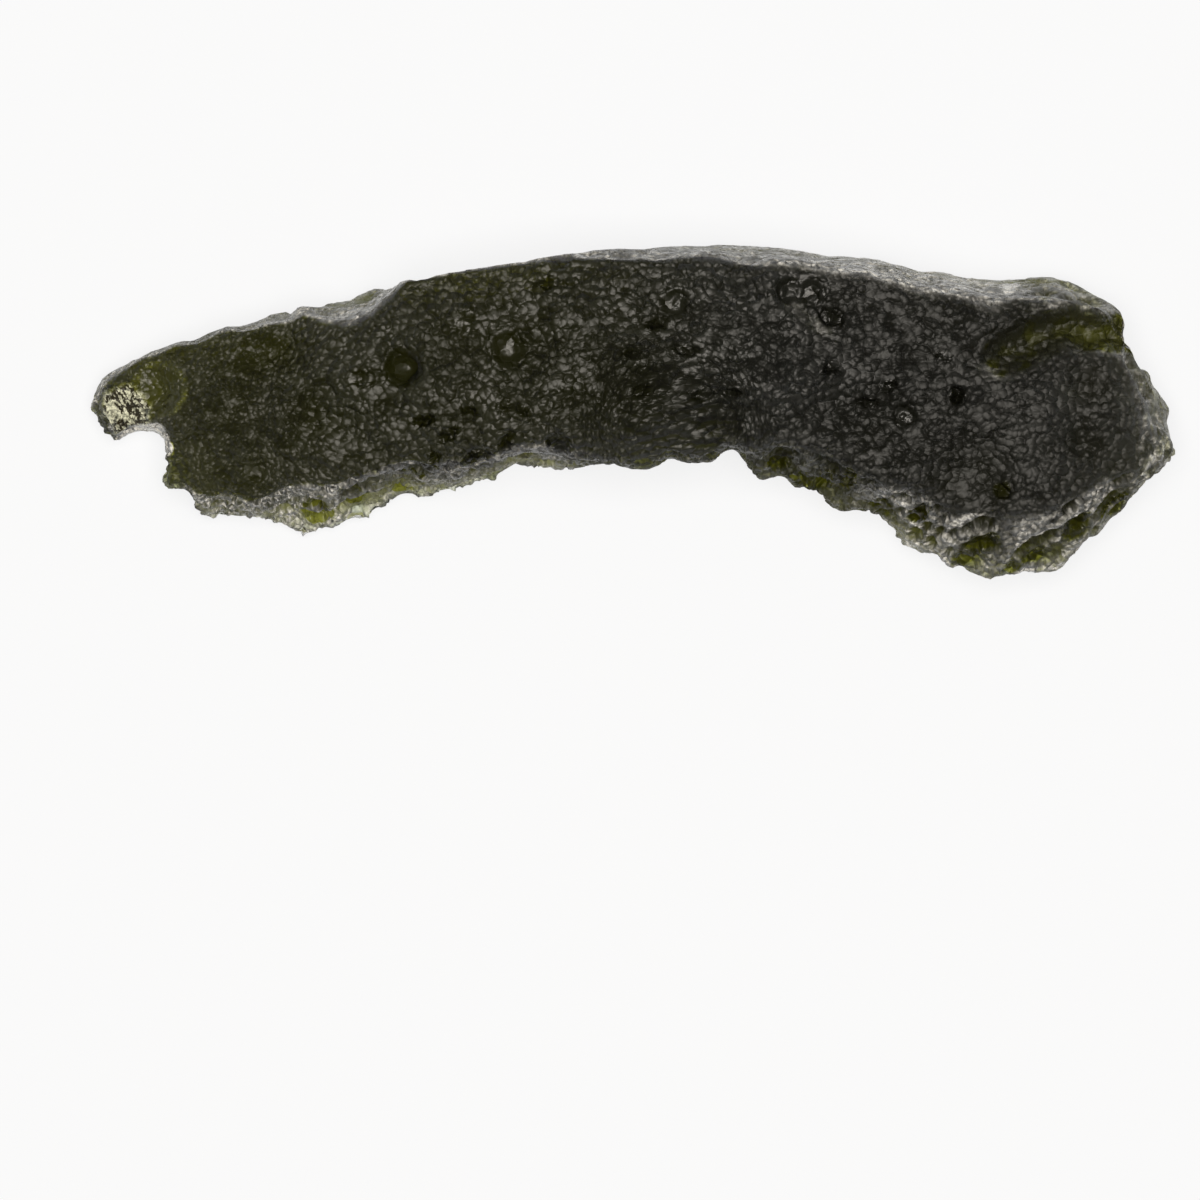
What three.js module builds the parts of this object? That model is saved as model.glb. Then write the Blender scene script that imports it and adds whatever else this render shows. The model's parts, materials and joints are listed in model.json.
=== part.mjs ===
// A moldavite: a curved bar of natural bottle-green glass, 39 mm long, with a pitted, fissured skin.
// Millimetres. +X runs along the stone to its broad end, +Y to its long smooth back edge, +Z is up.
// The stone lies on its flattest side, at z = 0. It formed as one piece, so it is one closed solid.
//
// The body is a loft. Stations run along the stone, each a rib from the back edge to the front edge.
// Over every rib stands a section: rim, steep wall, crowned top, wall, rim, and the underside.

import * as THREE from "three";

// ---------------------------------------------------------------- driving dimensions (mm)
const STATION_GAP = 0.46; // widest gap between two stations, along the busier edge
const TOP_POINTS = 14; // points across the crowned top of a section
const WALL_STEPS = 4; // steps up each side wall
const UNDER_STEPS = 4; // steps from a rim down to the underside
const BASE_POINTS = 7; // points across the underside
const SHOULDER = 0.92; // height of the top's edges, as a share of its crown
const WALL_LIMIT = 0.66; // most of a rib's width that its two walls may take
const CALM_REACH = 4; // ribs each way over which the top's edge evens out the ragged rim
const CALM_WALL = 0.9; // a wall this wide hides the rim's raggedness from the top altogether
const FOOT_HEIGHT = 0.12; // height of the underside inside a rim that lies on the ground
const FOOT_RISE = 0.2; // and how much higher it is for each millimetre of rim height
const TUCK = 0.3; // how far inside its rim that place lies
const TUCK_RISE = 0.32; // and how much further for each millimetre of rim height
const TUCK_LIMIT = 0.28; // at most this share of the rib
const TUCK_HOOK = 1.6; // above 1 the side runs straight down from its rim before it tucks in
const BELLY_LEVEL = -0.16; // the underside bulges to this height, and is worn flat at the rest height
const REST_HEIGHT = 0;

const LUMP_SIZE = 2.9; // broad swellings of the skin
const LUMP_HEIGHT = 0.3;
const KNOB_SIZE = 1.25; // smaller knobs between them
const KNOB_HEIGHT = 0.2;
const CUP_SPACING = 2; // scalloped cups that the skin is eaten into
const CUP_RADIUS = 1.1;
const CUP_DEPTH = 0.42;
const CUP_DEPTH_ON_TOP = 0.2;
const STREAK_LENGTH = 4.2; // low flow ridges along the top
const STREAK_WIDTH = 1.1;
const STREAK_HEIGHT = 0.16;
const SIDE_WEAR = 0.12; // how much deeper the side walls are worn than the top
const THINNEST = 0.35; // glass left under any mark in the top
const NARROW_RIB = 2.2; // towards the tips, ribs shorter than this take less relief
const FULL_RELIEF_WALL = 0.6; // and so do walls narrower than this, seen from above
const HIGH_RIM = 3; // under a rim this high the side takes the full relief
const UNDER_FIRM = 0.65; // share of the relief that the underside takes
const BROW_FADE = 2; // points over which the top's relief fades in from the edge of a narrow wall
const KNOB_SHIFT = 40; // places in the noise, far enough apart that the patterns don't repeat each other
const STREAK_SHIFT = 80;
// How steep the skin is, as its normal's share along Z, where a treatment starts and is complete.
const TOP_STARTS = 0.5;
const TOP_FULL = 0.9;
const SIDE_FULL = 0.4;
const SIDE_ENDS = 0.7;
const MARKED = 0.3;

const GLASS = { color: "#2c3018", roughness: 0.22, metalness: 0 };

// ---------------------------------------------------------------- outline, seen from above
// Each stretch of the stone has its back edge and its front edge, both towards the broad end.
const THIN_TIP = [-19.45, 0.25];
const BROAD_TIP = [19.45, -1.35];

const STRETCHES = [
  { // hooked tongue of the thin end
    back: [[-19.35, 0.5], [-19.2, 0.95], [-18.95, 1.35], [-18.7, 1.55], [-18.05, 1.85]],
    front: [[-19.35, 0.1], [-19.15, -0.3], [-18.95, -0.6], [-18.5, -1.05]],
  },
  { // half-round bite out of the front edge
    back: [[-17.6, 2.15], [-17.15, 2.3], [-16.3, 2.65], [-15.8, 2.7], [-15.3, 2.9], [-14.8, 3.1],
      [-14.4, 3.2]],
    front: [[-18.15, -0.7], [-17.8, -0.55], [-17.15, -0.55], [-16.9, -0.7], [-16.75, -1], [-16.7, -1.4],
      [-16.75, -2.05], [-16.95, -2.35]],
  },
  { // shoulder after the bite
    back: [[-14.1, 3.25], [-13.5, 3.4], [-13.15, 3.6]],
    front: [[-16.7, -2.7], [-16.15, -2.65], [-15.9, -2.85], [-15.65, -3.25], [-15.5, -3.75]],
  },
  { // thin wing
    back: [[-12.8, 3.65], [-12.35, 3.75], [-11.95, 3.9], [-11.15, 3.95]],
    front: [[-14.9, -3.65], [-14.1, -3.7], [-13.45, -3.7], [-12.5, -3.95], [-12.1, -4.2], [-11.85, -4.4]],
  },
  { // ragged green fringe of the front edge
    back: [[-10.65, 4], [-10.15, 4.05], [-9.75, 4.3], [-9.2, 4.5], [-8.7, 4.55], [-8.15, 4.85], [-7, 5],
      [-5.85, 5.2], [-4.1, 5.45]],
    front: [[-11.3, -4.2], [-10.65, -4.1], [-10.15, -3.85], [-9.55, -3.8], [-9.3, -3.45], [-8.75, -3.3],
      [-8.35, -2.85], [-7.7, -2.9], [-7.3, -3.05], [-6.9, -2.85], [-6.1, -2.7], [-5.75, -2.45],
      [-4.85, -2.3], [-4.5, -1.9], [-4, -1.7]],
  },
  { // waist, where the front edge stands high
    back: [[-3.25, 5.6], [-1.9, 5.85], [-0.3, 5.95], [1.25, 6.05], [2.65, 6.1], [3.85, 6.1]],
    front: [[-3.7, -1.8], [-3.15, -1.95], [-2.25, -2], [-1.25, -1.8], [-0.1, -2], [0.7, -2], [1.1, -1.7],
      [1.35, -1.5], [1.7, -1.75], [2.4, -1.75], [2.95, -1.7], [3.15, -1.4], [3.5, -1.2]],
  },
  { // bend into the broad lobe
    back: [[5.15, 6], [6.1, 5.9], [7.05, 5.75], [8.95, 5.6], [9.3, 5.45], [10.3, 5.15], [10.9, 5.2]],
    front: [[3.8, -1.4], [4.15, -1.95], [4.3, -2.45], [4.8, -2.4], [5.25, -2.2], [5.5, -2.3], [5.6, -2.6],
      [6, -2.8], [6.7, -3], [7.2, -3.4], [7.85, -3.6], [8.45, -3.6], [9.1, -3.95]],
  },
  { // broad lobe
    back: [[12.1, 4.95], [13.25, 4.8], [13.9, 4.85], [14.75, 4.95], [15.2, 4.9]],
    front: [[9.4, -4.25], [9.75, -4.75], [10.85, -5.25], [11.4, -5.55], [12.45, -5.85], [13, -6.1]],
  },
  { // heel of the lobe
    back: [[15.9, 4.7], [16.3, 4.4], [17, 4.1], [17.5, 3.75], [17.7, 3.25]],
    front: [[13.45, -6], [13.95, -5.6], [14.3, -5.75], [15.2, -5.65], [15.45, -5.35], [15.9, -5.05],
      [16.6, -4.35], [17.1, -3.7]],
  },
  { // blunt end of the lobe, with a step where the groove runs out
    back: [[17.5, 2.75], [17.95, 2.3], [18.15, 1.95], [18.5, 1.75], [18.6, 1.25], [18.9, 0.75], [19.3, 0.15],
      [19.05, -0.3], [19.25, -0.8], [19.42, -1.15]],
    front: [[17.6, -3.4], [18.15, -3], [18.3, -2.7], [18.95, -1.95], [19.2, -1.65], [19.42, -1.5]],
  },
];

// ---------------------------------------------------------------- heights and wall widths, by x
const CROWN = [[-19.4, 1.2], [-18.7, 1.8], [-17.3, 2.3], [-16.6, 2.6], [-15.5, 2.9], [-13.7, 3.3],
  [-11.9, 3.8], [-10.1, 4.4], [-8.3, 4.9], [-4.8, 5.4], [-1.2, 5.6], [2.4, 5.6], [6, 5.5], [9.6, 5.3],
  [13.2, 5], [15, 4.8], [16.7, 4.5], [17.8, 4], [18.5, 3.5], [19.4, 2.4]];
const BACK_RIM = [[-19.4, 0.8], [-18.4, 1.1], [-17.3, 1.4], [-15.5, 1.8], [-14.4, 1.9], [-13.5, 1.6],
  [-12.5, 1.2], [-11.8, 3], [-10.9, 0.8], [-9, 0.8], [-8.1, 4.6], [-4, 4.8], [-1.9, 4.3], [0.2, 3], [1.4, 2],
  [4.2, 1.2], [9.6, 1.2], [13.2, 0.9], [15, 0.6], [16.8, 1.5], [17.5, 2], [18.5, 1.5], [19.4, 1.2]];
const BACK_WALL = [[-19.4, 0.15], [-18, 0.12], [-14.4, 0.12], [-13.4, 0.32], [-12.4, 0.36], [-11.8, 0.22],
  [-10.9, 0.5], [-9.5, 0.52], [-8.1, 0.12], [-2.6, 0.12], [0.2, 0.38], [2.4, 0.42], [4.2, 0.58], [7.8, 0.38],
  [9.6, 0.4], [11, 0.5], [12.6, 0.65], [15, 0.75], [16.4, 0.45], [17.1, 0.35], [17.7, 0.8], [18.6, 0.6],
  [19.4, 0.5]];
const FRONT_RIM = [[-19.4, 0.8], [-18.4, 0.7], [-16.9, 0.7], [-16.87, 1.7], [-15.9, 1.6], [-15.5, 0.5],
  [-14.1, 0.5], [-11.8, 0.45], [-7.2, 0.6], [-4, 0.8], [-2.6, 1], [-1.1, 3.2], [0.2, 3.8], [3.5, 3.4],
  [4.2, 2.4], [7.8, 2], [8.9, 1.6], [9.6, 1], [11.4, 2], [13.2, 2.3], [15.3, 2.1], [18.2, 1.9], [19.4, 1.6]];
const FRONT_WALL = [[-19.4, 0.15], [-18.5, 0.15], [-18.2, 0.32], [-16.9, 0.32], [-16.87, 0.12],
  [-15.9, 0.15], [-15.5, 0.42], [-14.4, 0.52], [-13, 0.75], [-11.9, 1.5], [-9.4, 1.1], [-8.7, 1.15],
  [-7.6, 0.75], [-5.8, 0.45], [-4, 0.4], [-2.6, 0.5], [-1.1, 0.2], [3.5, 0.18], [4.2, 0.7], [4.9, 1.4],
  [7.8, 1.4], [8.9, 1.1], [9.6, 1.6], [11.8, 2.2], [13.2, 2.4], [16, 2.1], [16.8, 1.85], [17.8, 1.1],
  [18.5, 0.5], [19.4, 0.25]];
// Above 1 a wall sags into a thin flange at its rim; below 1 it bulges.
const BACK_SAG = [[-19.4, 0.9], [-10, 1.1], [-8, 0.8], [4, 0.8], [12, 0.7], [19.4, 0.8]];
const FRONT_SAG = [[-19.4, 0.9], [-15, 1], [-11, 1.5], [-9.4, 1.9], [-4, 1.9], [-2.4, 1.6], [-1, 0.8],
  [9, 0.85], [14, 0.95], [19.4, 0.85]];

// ---------------------------------------------------------------- single marks in the top
// Round hollows: x, y, radius and depth.
const HOLLOWS = [
  { at: [-18.15, 0.25], radius: 0.8, depth: 0.3 }, // thin window in the tongue
  { at: [-16.95, 0.9], radius: 0.85, depth: 0.2 }, // shell-shaped scar beside it
  { at: [-8.15, 1.7], radius: 0.75, depth: 0.5 },
  { at: [-9.8, 1.35], radius: 0.45, depth: 0.2 },
  { at: [-4.4, 2.35], radius: 0.65, depth: 0.25 },
  { at: [-2.25, 5.5], radius: 0.55, depth: 0.35 },
  { at: [1.5, 3.85], radius: 0.65, depth: 0.25 },
  { at: [5.9, 4.4], radius: 0.9, depth: 0.5 },
  { at: [6.95, 3.5], radius: 0.65, depth: 0.3 },
  { at: [9.05, 1], radius: 0.5, depth: 0.25 },
  { at: [10.7, 2], radius: 0.5, depth: 0.25 },
  { at: [9.8, -0.15], radius: 0.7, depth: 0.25 },
  { at: [10.15, -3.5], radius: 0.6, depth: 0.35 },
  { at: [12.3, -4.65], radius: 0.9, depth: 0.4 },
  { at: [16.05, -3.75], radius: 0.8, depth: 0.4 },
  { at: [17.1, -3.05], radius: 0.6, depth: 0.35 },
  { at: [-11.3, -3.45], radius: 0.6, depth: 0.3 },
  { at: [-7.8, -2.25], radius: 0.65, depth: 0.3 },
  { at: [-2.6, -1.05], radius: 0.55, depth: 0.3 },
  { at: [4.75, -1.65], radius: 0.6, depth: 0.35 },
  { at: [6.5, -2.5], radius: 0.6, depth: 0.35 },
  { at: [7.6, -2.95], radius: 0.55, depth: 0.35 },
];
// The groove runs in from the blunt end along the back, bends inwards and grows shallower.
const GROOVE = { path: [[18.6, 2.85], [15.4, 3.1], [13.2, 2.1]], width: 1.5, depth: 1.25, fading: 0.6 };

// ---------------------------------------------------------------- small helpers
function mix(a, b, share) {
  return a + (b - a) * share;
}

function smooth(share) {
  const s = Math.min(1, Math.max(0, share));
  return s * s * (3 - 2 * s);
}

// Value at x of a list of [x, value] rows, straight between rows.
function readAt(rows, x) {
  const last = rows.length - 1;
  if (x <= rows[0][0]) return rows[0][1];
  if (x >= rows[last][0]) return rows[last][1];
  const next = rows.findIndex((row) => row[0] > x);
  const [x0, v0] = rows[next - 1];
  const [x1, v1] = rows[next];
  return mix(v0, v1, (x - x0) / (x1 - x0));
}

// Repeatable scatter number from 0 to 1 for a corner of the unit grid.
function scatter(i, j, k, salt) {
  const value = Math.sin(i * 127.1 + j * 311.7 + k * 74.7 + salt * 19.3) * 43758.5453;
  return value - Math.floor(value);
}

// Share of the way from one steepness to another, smoothed.
function between(value, start, full) {
  return smooth((value - start) / (full - start));
}

// Smooth noise from -1 to 1 that changes over about one unit.
function noise(x, y, z) {
  const [i, j, k] = [Math.floor(x), Math.floor(y), Math.floor(z)];
  const [u, v, w] = [smooth(x - i), smooth(y - j), smooth(z - k)];
  const edge = (dj, dk) => mix(scatter(i, j + dj, k + dk, 0), scatter(i + 1, j + dj, k + dk, 0), u);
  return 2 * mix(mix(edge(0, 0), edge(1, 0), v), mix(edge(0, 1), edge(1, 1), v), w) - 1;
}

// Distance, in units, to the nearest of points scattered one to each unit cell.
function nearestScattered(x, y, z) {
  const [i, j, k] = [Math.floor(x), Math.floor(y), Math.floor(z)];
  let nearest = Infinity;
  for (let a = i - 1; a <= i + 1; a++) {
    for (let b = j - 1; b <= j + 1; b++) {
      for (let c = k - 1; c <= k + 1; c++) {
        const dx = a + scatter(a, b, c, 1) - x;
        const dy = b + scatter(a, b, c, 2) - y;
        const dz = c + scatter(a, b, c, 3) - z;
        nearest = Math.min(nearest, Math.hypot(dx, dy, dz));
      }
    }
  }
  return nearest;
}

// Bowl from 1 in the middle to 0 at the rim, with a rounded lip.
function bowl(distance, radius) {
  return distance < radius ? (1 - (distance / radius) ** 2) ** 1.5 : 0;
}

// ---------------------------------------------------------------- stations along the stone
// Share of the whole length at which each corner of an open line lies.
function cornerShares(points) {
  const sums = [0];
  for (let i = 1; i < points.length; i++) {
    sums.push(sums[i - 1] + Math.hypot(points[i][0] - points[i - 1][0], points[i][1] - points[i - 1][1]));
  }
  return { total: sums[sums.length - 1], shares: sums.map((sum) => sum / sums[sums.length - 1]) };
}

function pointOn(points, shares, share) {
  const next = Math.max(1, shares.findIndex((s) => s >= share - 1e-9));
  const part = (share - shares[next - 1]) / (shares[next] - shares[next - 1]);
  return [0, 1].map((axis) => mix(points[next - 1][axis], points[next][axis], part));
}

// Ribs of one stretch: one at each corner of its busier edge, and more where those lie far apart.
function ribsOf({ back, front }) {
  const [backLine, frontLine] = [cornerShares(back), cornerShares(front)];
  const busier = back.length > front.length ? backLine : frontLine;
  const shares = [0];
  for (let i = 1; i < busier.shares.length; i++) {
    const [from, to] = [busier.shares[i - 1], busier.shares[i]];
    const steps = Math.ceil(((to - from) * busier.total) / STATION_GAP - 0.2);
    for (let step = 1; step <= steps; step++) shares.push(mix(from, to, step / Math.max(1, steps)));
  }
  return shares.map((share) => ({
    back: pointOn(back, backLine.shares, share),
    front: pointOn(front, frontLine.shares, share),
  }));
}

// ---------------------------------------------------------------- one section over a rib
// Mean of a rim's points over the nearest ribs, which is the line that the top's edge follows.
function calmed(ribs, index, side) {
  const near = ribs.slice(Math.max(0, index - CALM_REACH), index + CALM_REACH + 1);
  return [0, 1].map((axis) => near.reduce((sum, rib) => sum + rib[side][axis], 0) / near.length);
}

// Moves a share of the way from one plan point to another.
function step2d(from, to, share) {
  return [0, 1].map((axis) => mix(from[axis], to[axis], share));
}

// One side of a section: its rim, its brow where the wall meets the top, its foot under the rim,
// and their heights. Brow and foot follow the calmed rim, the more so the further in they lie.
function sideOf(ribs, index, side, rims, walls, squeeze) {
  const other = side === "back" ? "front" : "back";
  const rim = ribs[index][side];
  const far = ribs[index][other];
  const width = Math.hypot(far[0] - rim[0], far[1] - rim[1]);
  const wall = readAt(walls, rim[0]) * squeeze;
  const calm = calmed(ribs, index, side);
  const inwards = (reach) => {
    const start = step2d(rim, calm, smooth(reach / CALM_WALL));
    return [0, 1].map((axis) => start[axis] + ((far[axis] - rim[axis]) * reach) / width);
  };
  const brow = inwards(wall);
  const browHeight = SHOULDER * readAt(CROWN, brow[0]);
  const rimHeight = Math.min(readAt(rims, rim[0]), browHeight);
  const foot = inwards(Math.min(TUCK_LIMIT * width, TUCK + TUCK_RISE * rimHeight));
  const footHeight = FOOT_HEIGHT + FOOT_RISE * rimHeight;
  return { rim, brow, foot, rimHeight, browHeight, footHeight, firm: smooth(wall / FULL_RELIEF_WALL) };
}

// Returns the section's points in order round it: back wall, top, front wall, underside.
// Each point has a firmness: how much of the skin's relief it takes, less towards the thin rims.
function sectionOver(ribs, index) {
  const { back, front } = ribs[index];
  const width = Math.hypot(front[0] - back[0], front[1] - back[1]);
  const walls = readAt(BACK_WALL, back[0]) + readAt(FRONT_WALL, front[0]);
  const squeeze = Math.min(1, (WALL_LIMIT * width) / walls);
  const rear = sideOf(ribs, index, "back", BACK_RIM, BACK_WALL, squeeze);
  const fore = sideOf(ribs, index, "front", FRONT_RIM, FRONT_WALL, squeeze);
  const grip = smooth(width / NARROW_RIB);
  const points = [];
  const place = (from, to, share, height, firm) => {
    points.push({ at: new THREE.Vector3(...step2d(from, to, share), height), firm: firm * grip });
  };
  const climb = (side, sag, step) => {
    const rise = step / WALL_STEPS;
    const height = mix(side.rimHeight, side.browHeight, rise ** readAt(sag, side.rim[0]));
    place(side.rim, side.brow, rise, height, rise * side.firm);
  };
  const duck = (side, step) => {
    const drop = step / UNDER_STEPS;
    const firm = Math.max(drop * UNDER_FIRM, Math.min(1, 2 * drop) * smooth(side.rimHeight / HIGH_RIM));
    place(side.rim, side.foot, drop ** TUCK_HOOK, mix(side.rimHeight, side.footHeight, drop), firm);
  };

  for (let step = 0; step < WALL_STEPS; step++) climb(rear, BACK_SAG, step);
  for (let i = 0; i < TOP_POINTS; i++) {
    const across = i / (TOP_POINTS - 1);
    const crown = readAt(CROWN, mix(rear.brow[0], fore.brow[0], across));
    const arch = mix(SHOULDER, 1, Math.sqrt(Math.sin(Math.PI * across)));
    const inside = smooth(Math.min(i, TOP_POINTS - 1 - i) / BROW_FADE);
    const firm = Math.max(inside, i < TOP_POINTS / 2 ? rear.firm : fore.firm);
    place(rear.brow, fore.brow, across, crown * arch, firm);
  }
  for (let step = WALL_STEPS - 1; step >= 0; step--) climb(fore, FRONT_SAG, step);
  for (let step = 1; step <= UNDER_STEPS; step++) duck(fore, step);
  for (let i = 1; i <= BASE_POINTS; i++) {
    const across = i / (BASE_POINTS + 1);
    const feet = mix(fore.footHeight, rear.footHeight, across);
    const height = mix(feet, BELLY_LEVEL, Math.sqrt(Math.sin(Math.PI * across)));
    place(fore.foot, rear.foot, across, height, UNDER_FIRM);
  }
  for (let step = UNDER_STEPS; step >= 1; step--) duck(rear, step);
  return points;
}

// ---------------------------------------------------------------- skin
// Swellings, knobs, flow streaks on the top, and cups that are deepest in the sides and underside.
function relief(at, normal) {
  const lumps = LUMP_HEIGHT * noise(at.x / LUMP_SIZE, at.y / LUMP_SIZE, at.z / LUMP_SIZE);
  const knobs = KNOB_HEIGHT * noise(at.x / KNOB_SIZE + KNOB_SHIFT, at.y / KNOB_SIZE, at.z / KNOB_SIZE);
  const facesUp = between(normal.z, TOP_STARTS, TOP_FULL);
  const flow = noise(at.x / STREAK_LENGTH + STREAK_SHIFT, at.y / STREAK_WIDTH, 0);
  const near = nearestScattered(at.x / CUP_SPACING, at.y / CUP_SPACING, at.z / CUP_SPACING) * CUP_SPACING;
  const cups = mix(CUP_DEPTH, CUP_DEPTH_ON_TOP, facesUp) * bowl(near, CUP_RADIUS);
  return lumps + knobs + STREAK_HEIGHT * facesUp * flow - cups;
}

function hollowDepth(at) {
  const depthOf = ({ at: [x, y], radius, depth }) => depth * bowl(Math.hypot(at.x - x, at.y - y), radius);
  return HOLLOWS.reduce((sum, hollow) => sum + depthOf(hollow), 0);
}

// Its depth at a place is that of the deepest stretch of its path.
function grooveDepth(at) {
  const { path, width, depth, fading } = GROOVE;
  const depths = path.slice(1).map((end, i) => {
    const run = [end[0] - path[i][0], end[1] - path[i][1]];
    const ahead = (at.x - path[i][0]) * run[0] + (at.y - path[i][1]) * run[1];
    const along = Math.min(1, Math.max(0, ahead / (run[0] ** 2 + run[1] ** 2)));
    const across = Math.hypot(at.x - path[i][0] - along * run[0], at.y - path[i][1] - along * run[1]);
    return depth * (1 - (fading * (i + along)) / (path.length - 1)) * bowl(across, width / 2);
  });
  return Math.max(...depths);
}

// Works the relief into the skin: outwards and upwards on the sides, but only upwards or downwards on
// the top and underside. Then sinks the single marks and flattens the underside.
function roughen(geometry, firmness) {
  geometry.computeVertexNormals();
  const position = geometry.getAttribute("position");
  const normals = geometry.getAttribute("normal");
  for (let i = 0; i < position.count; i++) {
    const at = new THREE.Vector3().fromBufferAttribute(position, i);
    const normal = new THREE.Vector3().fromBufferAttribute(normals, i);
    const marks = normal.z > MARKED ? (hollowDepth(at) + grooveDepth(at)) * firmness[i] : 0;
    const side = 1 - between(Math.abs(normal.z), SIDE_FULL, SIDE_ENDS);
    const rise = (relief(at, normal) - SIDE_WEAR * side) * firmness[i];
    at.add(new THREE.Vector3(normal.x * side, normal.y * side, normal.z).multiplyScalar(rise));
    at.z = Math.max(REST_HEIGHT, at.z - Math.min(marks, Math.max(0, at.z - THINNEST)));
    position.setXYZ(i, at.x, at.y, at.z);
  }
}

// ---------------------------------------------------------------- the closed body
// The two triangles of a four-cornered patch, cut along its shorter diagonal.
function patch(points, a, b, c, d) {
  const alongAD = points[a].at.distanceTo(points[d].at) < points[b].at.distanceTo(points[c].at);
  return alongAD ? [a, b, d, a, d, c] : [a, b, c, b, d, c];
}

// Stretches a skin over all the sections and closes it with a fan of triangles to each tip.
function skinOver(sections) {
  const round = sections[0].length;
  const tips = [THIN_TIP, BROAD_TIP].map(([x, y]) => {
    const height = (readAt(BACK_RIM, x) + readAt(FRONT_RIM, x)) / 2;
    return { at: new THREE.Vector3(x, y, height), firm: 0 };
  });
  const points = [...sections.flat(), ...tips];
  const [thinTip, broadTip] = [points.length - 2, points.length - 1];
  const lastStart = (sections.length - 1) * round;
  const faces = [];
  for (let i = 0; i < round; i++) {
    const next = (i + 1) % round;
    for (let start = 0; start < lastStart; start += round) {
      faces.push(...patch(points, start + i, start + next, start + round + i, start + round + next));
    }
    faces.push(thinTip, next, i, broadTip, lastStart + i, lastStart + next);
  }
  const geometry = new THREE.BufferGeometry();
  const places = points.flatMap(({ at }) => at.toArray());
  geometry.setAttribute("position", new THREE.Float32BufferAttribute(places, 3));
  geometry.setIndex(faces);
  roughen(geometry, points.map(({ firm }) => firm));
  return geometry;
}

// Puts the middle of the footprint over the origin, with the rest face at z = 0.
function centre(geometry) {
  geometry.computeBoundingBox();
  const { min, max } = geometry.boundingBox;
  geometry.translate(-(min.x + max.x) / 2, -(min.y + max.y) / 2, -min.z);
  return geometry;
}

function buildStone() {
  const ribs = STRETCHES.flatMap(ribsOf);
  const sections = ribs.map((rib, index) => sectionOver(ribs, index));
  const stone = new THREE.Mesh(centre(skinOver(sections)), new THREE.MeshStandardMaterial(GLASS));
  stone.name = "moldavite";
  return stone;
}

const part = new THREE.Group();
part.add(buildStone());
export default part;
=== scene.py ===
"""Moldavite: a curved bar of natural bottle-green glass on a pale floor, seen from above.

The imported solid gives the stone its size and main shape. This script gives it its skin: pits with
raised lips, shell-shaped cups, flow grooves, fine lacquer-like knobs and ragged thin edges, and a
glass that is clear where it is thin and nearly black where it is thick.
Lengths in the code are millimetres while the skin is worked, and metres in the finished scene.
"""

import json
import math

import bmesh
import bpy
from mathutils import Matrix, Vector

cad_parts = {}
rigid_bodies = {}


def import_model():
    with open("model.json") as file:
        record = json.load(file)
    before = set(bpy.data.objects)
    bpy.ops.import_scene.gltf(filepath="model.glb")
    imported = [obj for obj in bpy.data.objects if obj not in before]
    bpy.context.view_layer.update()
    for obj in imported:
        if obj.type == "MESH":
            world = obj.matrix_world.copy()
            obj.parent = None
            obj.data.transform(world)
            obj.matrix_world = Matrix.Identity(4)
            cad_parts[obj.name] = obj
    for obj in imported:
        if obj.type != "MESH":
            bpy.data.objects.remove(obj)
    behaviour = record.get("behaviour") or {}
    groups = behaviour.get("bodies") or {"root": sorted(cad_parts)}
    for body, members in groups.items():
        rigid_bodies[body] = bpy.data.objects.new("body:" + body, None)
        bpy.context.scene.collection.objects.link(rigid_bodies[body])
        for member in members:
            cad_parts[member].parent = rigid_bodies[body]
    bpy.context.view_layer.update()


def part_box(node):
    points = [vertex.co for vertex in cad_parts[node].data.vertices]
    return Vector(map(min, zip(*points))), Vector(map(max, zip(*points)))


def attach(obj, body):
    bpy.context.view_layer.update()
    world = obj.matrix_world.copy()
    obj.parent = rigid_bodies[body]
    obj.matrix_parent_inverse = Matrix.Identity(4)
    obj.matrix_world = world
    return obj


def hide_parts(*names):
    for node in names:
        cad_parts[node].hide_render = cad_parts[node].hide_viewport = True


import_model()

bl_info = {
    "name": "Moldavite",
    "version": (1, 0, 0),
    "blender": (4, 5, 0),
    "location": "3D View > Sidebar > Moldavite",
    "description": "Builds a pitted moldavite from its packed solid, and the stage it lies on",
    "category": "Object",
}

NODE = "moldavite"
MM = 0.001
MERGE_DISTANCE = 0.0005  # corners of the solid's loose triangles nearer than this (mm) are one

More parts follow.
